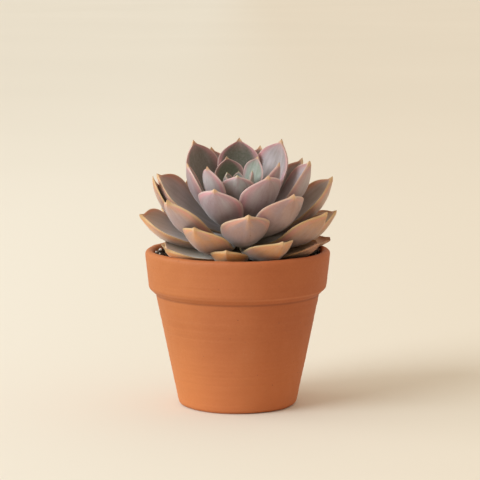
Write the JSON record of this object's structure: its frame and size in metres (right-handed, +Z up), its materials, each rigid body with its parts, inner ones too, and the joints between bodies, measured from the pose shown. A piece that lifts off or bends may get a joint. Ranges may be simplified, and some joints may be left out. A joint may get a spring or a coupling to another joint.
{
  "type": "potted succulent",
  "caption": "Small rosette succulent with thick pointed leaves, growing on a short stem in a tapered clay pot filled with gritty potting mix.",
  "frame": {"origin": "centre of the pot's foot, on the surface the pot stands on", "axes": "+Z up along the pot's axis; -Y is the front, towards which the rosette leans; +X is the viewer's right"},
  "size_m": [0.1093, 0.104, 0.15],
  "materials": {
    "clay": "matt unglazed terracotta",
    "soil": "loose dark potting mix",
    "stem": "dry fibrous bark",
    "young_leaf": "waxy, silver-green with a pink edge",
    "leaf": "waxy bloom, grey-mauve with a pink edge",
    "old_leaf": "waxy, grey-olive with an orange edge",
    "dry_leaf": "withered, brown and wrinkled",
    "perlite": "rough white grains"
  },
  "bodies": {
    "root": {"pot": "clay", "soil": "soil", "stem": "stem", "leaf_01": "young_leaf", "leaf_02": "young_leaf", "leaf_03": "young_leaf", "leaf_04": "young_leaf", "leaf_05": "young_leaf", "leaf_06": "young_leaf", "leaf_07": "young_leaf", "leaf_08": "leaf", "leaf_09": "leaf", "leaf_10": "leaf", "leaf_11": "leaf", "leaf_12": "leaf", "leaf_13": "leaf", "leaf_14": "leaf", "leaf_15": "leaf", "leaf_16": "leaf", "leaf_17": "leaf", "leaf_18": "leaf", "leaf_19": "leaf", "leaf_20": "old_leaf", "leaf_21": "leaf", "leaf_22": "leaf", "leaf_23": "leaf", "leaf_24": "leaf", "leaf_25": "leaf", "leaf_26": "old_leaf", "leaf_27": "old_leaf", "leaf_28": "leaf", "leaf_29": "leaf", "leaf_30": "leaf", "leaf_31": "old_leaf", "leaf_32": "old_leaf", "leaf_33": "old_leaf", "leaf_34": "leaf", "leaf_35": "leaf", "leaf_36": "old_leaf", "leaf_37": "old_leaf", "leaf_38": "old_leaf", "leaf_39": "dry_leaf", "leaf_40": "old_leaf", "leaf_41": "dry_leaf", "leaf_42": "old_leaf", "leaf_43": "old_leaf", "leaf_44": "old_leaf", "perlite_01": "perlite", "perlite_02": "perlite", "perlite_03": "perlite", "perlite_04": "perlite", "perlite_05": "perlite", "perlite_06": "perlite", "perlite_07": "perlite", "perlite_08": "perlite", "perlite_09": "perlite"}
  },
  "joints": []
}
